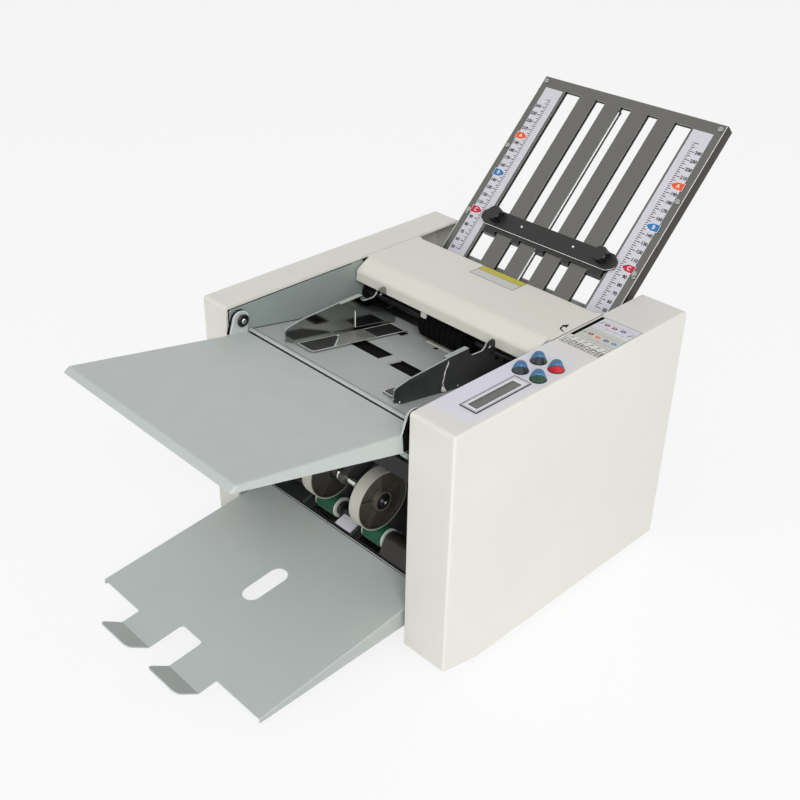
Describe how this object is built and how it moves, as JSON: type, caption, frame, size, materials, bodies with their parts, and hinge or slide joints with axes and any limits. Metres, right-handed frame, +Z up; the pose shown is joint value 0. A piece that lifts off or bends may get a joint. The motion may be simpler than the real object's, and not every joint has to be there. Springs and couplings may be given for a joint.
{
  "type": "paper folding machine",
  "caption": "Desktop paper folding machine: feed table and side guides, top fold plate with rulers and sliding stop, lower fold plate, roller drive, control panel and delivery tray.",
  "frame": {"origin": "middle of the whole machine's bounding box, on the plane that its rubber feet rest on", "axes": "+X to the operator's right (the control side), +Y to the rear (towards the fold plates), +Z up"},
  "size_m": [0.35, 0.6876, 0.4278],
  "materials": {
    "cream_housing": "satin moulded plastic",
    "grey_green_paint": "smooth satin paint",
    "frame_paint": "satin paint",
    "bed_paint": "satin paint",
    "plate_steel": "brushed stainless sheet",
    "guide_steel": "polished stainless sheet",
    "zinc_steel": "zinc plated",
    "chrome": "bright chrome",
    "dark_steel": "black oxide",
    "black_plastic": "fine grained",
    "ruler_print": "printed film",
    "black_rubber": "matt rubber",
    "green_rubber": "matt rubber",
    "white_plastic": "satin",
    "wheel_plastic": "satin moulded plastic",
    "gear_plastic": "natural acetal",
    "roller_steel": "ground steel",
    "motor_case": "black paint",
    "board_green": "solder mask",
    "display_plastic": "clear window over a grey display",
    "grey_key": "gloss",
    "green_key": "gloss",
    "red_key": "gloss"
  },
  "bodies": {
    "machine": {"left_side_frame": "frame_paint", "right_side_frame": "frame_paint", "left_housing": "cream_housing", "right_housing": "cream_housing", "base_plate": "frame_paint", "rubber_feet": "black_rubber", "rear_lower_panel": "frame_paint", "rear_upper_panel": "frame_paint", "tie_rods": "zinc_steel", "cross_channel": "dark_steel", "feed_bed": "bed_paint", "separator_pad": "black_rubber", "shaft_bushes": "gear_plastic", "drive_belts": "black_rubber", "motor": "motor_case", "wheel_carrier": "black_plastic", "exit_guide": "dark_steel", "pivot_screws": "zinc_steel", "upper_fold_plate": "plate_steel", "upper_back_sheet": "plate_steel", "plate_rulers": "ruler_print", "machine_screws": "zinc_steel", "plate_brackets": "dark_steel", "lower_fold_plate": "plate_steel", "lower_back_sheet": "plate_steel", "display_window": "display_plastic", "control_board": "board_green", "power_inlet": "black_plastic"},
    "table": {"feed_table": "grey_green_paint"},
    "tray": {"delivery_tray": "grey_green_paint"},
    "cover": {"top_cover": "cream_housing"},
    "right_guide_set": {"right_guide": "guide_steel"},
    "left_guide_set": {"left_guide": "guide_steel"},
    "upper_stop_set": {"upper_stop": "dark_steel"},
    "left_knob": {"left_stop_knob": "black_plastic"},
    "right_knob": {"right_stop_knob": "black_plastic"},
    "lower_stop_set": {"lower_stop": "dark_steel"},
    "lower_knob": {"lower_stop_knob": "black_plastic"},
    "roller_set_1": {"fold_roller_1": "roller_steel", "roller_gear_1": "gear_plastic"},
    "roller_set_2": {"fold_roller_2": "roller_steel", "roller_gear_2": "gear_plastic"},
    "roller_set_3": {"fold_roller_3": "roller_steel", "roller_gear_3": "gear_plastic"},
    "roller_set_4": {"fold_roller_4": "roller_steel", "roller_gear_4": "gear_plastic"},
    "motor_spindle": {"motor_rotor": "zinc_steel"},
    "feed_set": {"feed_shaft": "zinc_steel", "feed_roller": "black_rubber"},
    "exit_drive": {"exit_roller_shaft": "chrome", "exit_rollers": "green_rubber", "exit_roller_cores": "white_plastic"},
    "exit_wheel_set": {"wheel_shaft": "chrome", "exit_wheels": "wheel_plastic", "wheel_bushes": "black_rubber"},
    "switch_rocker": {"power_rocker": "black_plastic"},
    "down_key": {"down_button": "grey_key"},
    "up_key": {"up_button": "grey_key"},
    "start_key": {"start_button": "green_key"},
    "stop_key": {"stop_button": "red_key"}
  },
  "joints": [
    {"name": "feed_table_hinge", "type": "hinge", "parent": "machine", "child": "table", "pos_m": [-0.007, -0.11658, 0.2686], "axis": [-1, 0, 0], "range_deg": [0, 160]},
    {"name": "delivery_tray_hinge", "type": "hinge", "parent": "machine", "child": "tray", "pos_m": [-0.007, -0.10208, 0.051], "axis": [-1, 0, 0], "range_deg": [0, 50]},
    {"name": "top_cover_hinge", "type": "hinge", "parent": "machine", "child": "cover", "pos_m": [-0.007, 0.13092, 0.267], "axis": [-1, 0, 0], "range_deg": [0, 100]},
    {"name": "right_guide_slide", "type": "slide", "parent": "machine", "child": "right_guide_set", "axis": [1, 0, 0], "range_m": [-0.03, 0.03]},
    {"name": "left_guide_slide", "type": "slide", "parent": "machine", "child": "left_guide_set", "axis": [-1, 0, 0], "range_m": [-0.03, 0.03]},
    {"name": "upper_stop_slide", "type": "slide", "parent": "machine", "child": "upper_stop_set", "axis": [0, 0.7034, 0.7108], "range_m": [-0.035, 0.145]},
    {"name": "left_knob_turn", "type": "hinge", "parent": "upper_stop_set", "child": "left_knob", "pos_m": [-0.0805, 0.20932, 0.30238], "axis": [0, -0.7108, 0.7034], "range_deg": [0, 360]},
    {"name": "right_knob_turn", "type": "hinge", "parent": "upper_stop_set", "child": "right_knob", "pos_m": [0.0665, 0.20932, 0.30238], "axis": [0, -0.7108, 0.7034], "range_deg": [0, 360]},
    {"name": "lower_stop_slide", "type": "slide", "parent": "machine", "child": "lower_stop_set", "axis": [0, 0.9397, -0.342], "range_m": [-0.05, 0.017]},
    {"name": "lower_knob_turn", "type": "hinge", "parent": "lower_stop_set", "child": "lower_knob", "pos_m": [-0.007, 0.26454, 0.13521], "axis": [0, 0.342, 0.9397], "range_deg": [0, 360]},
    {"name": "roller_2_spin", "type": "hinge", "parent": "machine", "child": "roller_set_2", "pos_m": [-0.007, 0.10824, 0.19808], "axis": [1, 0, 0], "continuous": true},
    {"name": "roller_1_spin", "type": "hinge", "parent": "machine", "child": "roller_set_1", "pos_m": [-0.007, 0.1136, 0.2276], "axis": [1, 0, 0], "continuous": true},
    {"name": "roller_3_spin", "type": "hinge", "parent": "machine", "child": "roller_set_3", "pos_m": [-0.007, 0.13778, 0.20329], "axis": [1, 0, 0], "continuous": true},
    {"name": "roller_4_spin", "type": "hinge", "parent": "machine", "child": "roller_set_4", "pos_m": [-0.007, 0.10303, 0.16854], "axis": [1, 0, 0], "continuous": true},
    {"name": "motor_spin", "type": "hinge", "parent": "machine", "child": "motor_spindle", "pos_m": [-0.007, 0.14592, 0.067], "axis": [1, 0, 0], "continuous": true},
    {"name": "feed_spin", "type": "hinge", "parent": "machine", "child": "feed_set", "pos_m": [-0.007, 0.05878, 0.24193], "axis": [1, 0, 0], "continuous": true},
    {"name": "exit_drive_spin", "type": "hinge", "parent": "machine", "child": "exit_drive", "pos_m": [-0.007, -0.07458, 0.0698], "axis": [1, 0, 0], "continuous": true},
    {"name": "exit_wheel_spin", "type": "hinge", "parent": "machine", "child": "exit_wheel_set", "pos_m": [-0.007, -0.07695, 0.11504], "axis": [1, 0, 0], "continuous": true},
    {"name": "power_rocker_tilt", "type": "hinge", "parent": "machine", "child": "switch_rocker", "pos_m": [0.149, 0.20642, 0.091], "axis": [-1, 0, 0], "range_deg": [0, 24]},
    {"name": "down_button_press", "type": "slide", "parent": "machine", "child": "down_key", "axis": [0, 0, -1], "range_m": [0, 0.0015], "stiffness_N_per_m": 300, "springref_m": -0.0008},
    {"name": "up_button_press", "type": "slide", "parent": "machine", "child": "up_key", "axis": [0, 0, -1], "range_m": [0, 0.0015], "stiffness_N_per_m": 300, "springref_m": -0.0008},
    {"name": "start_button_press", "type": "slide", "parent": "machine", "child": "start_key", "axis": [0, 0, -1], "range_m": [0, 0.0015], "stiffness_N_per_m": 300, "springref_m": -0.0008},
    {"name": "stop_button_press", "type": "slide", "parent": "machine", "child": "stop_key", "axis": [0, 0, -1], "range_m": [0, 0.0015], "stiffness_N_per_m": 300, "springref_m": -0.0008}
  ],
  "couplings": [
    {"joint": "roller_1_spin", "follows": "roller_2_spin", "ratio": -1},
    {"joint": "roller_3_spin", "follows": "roller_2_spin", "ratio": -1},
    {"joint": "roller_4_spin", "follows": "roller_2_spin", "ratio": -1},
    {"joint": "feed_spin", "follows": "roller_2_spin", "ratio": -1},
    {"joint": "exit_drive_spin", "follows": "roller_2_spin", "ratio": -1},
    {"joint": "exit_wheel_spin", "follows": "roller_2_spin", "ratio": 0.3939},
    {"joint": "motor_spin", "follows": "roller_2_spin", "ratio": 2.3889}
  ]
}
